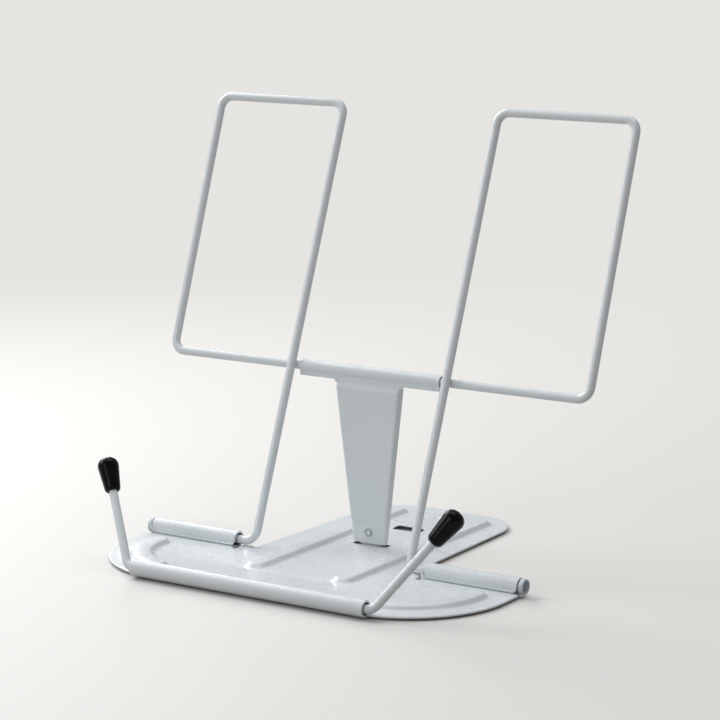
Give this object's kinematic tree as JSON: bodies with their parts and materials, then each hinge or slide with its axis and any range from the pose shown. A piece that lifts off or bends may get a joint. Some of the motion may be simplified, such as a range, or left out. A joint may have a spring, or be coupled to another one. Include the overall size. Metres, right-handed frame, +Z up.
{
  "type": "folding bookstand rack",
  "caption": "Folding bookstand rack with a T-shaped pressed base, hinged wire frames held up by a folding prop, and turning wire page arms with soft tips.",
  "frame": {"origin": "on the table under the middle of the stand's outer box", "axes": "+X to the reader's right along the hinges, +Y away from the reader, +Z up"},
  "size_m": [0.1996, 0.1562, 0.177],
  "materials": {
    "painted_steel": "semi-gloss pale blue-white enamel",
    "pale_nylon": "satin pale grey nylon",
    "grey_rubber": "matte grey rubber",
    "black_rubber": "soft-gloss black rubber"
  },
  "bodies": {
    "base": {"base_plate": "painted_steel", "pivot_bush_left": "pale_nylon", "pivot_bush_right": "pale_nylon", "arm_liner_left": "pale_nylon", "arm_liner_right": "pale_nylon", "pad_front_left": "grey_rubber", "pad_front_right": "grey_rubber", "pad_tail_left": "grey_rubber", "pad_tail_right": "grey_rubber"},
    "rack": {"frame_left": "painted_steel", "frame_right": "painted_steel"},
    "prop": {"prop_arm": "painted_steel", "foot_catch": "painted_steel", "foot_rivet": "painted_steel"},
    "left_arm": {"page_arm_left": "painted_steel", "arm_tip_left": "black_rubber"},
    "right_arm": {"page_arm_right": "painted_steel", "arm_tip_right": "black_rubber"}
  },
  "joints": [
    {"name": "rack_fold", "type": "hinge", "parent": "base", "child": "rack", "pos_m": [0, -0.01735, 0.004], "axis": [1, 0, 0], "range_deg": [0, 105.8]},
    {"name": "prop_swing", "type": "hinge", "parent": "rack", "child": "prop", "pos_m": [0, 0.0123, 0.07187], "axis": [1, 0, 0], "range_deg": [-22.6, 0]},
    {"name": "left_arm_turn", "type": "hinge", "parent": "base", "child": "left_arm", "pos_m": [-0.03, -0.07485, 0.004], "axis": [1, 0, 0], "range_deg": [-55.8, 117.8]},
    {"name": "right_arm_turn", "type": "hinge", "parent": "base", "child": "right_arm", "pos_m": [0.03, -0.07485, 0.004], "axis": [1, 0, 0], "range_deg": [-55.8, 117.8]}
  ],
  "couplings": [
    {"joint": "prop_swing", "follows": "rack_fold", "ratio": -0.2136}
  ]
}
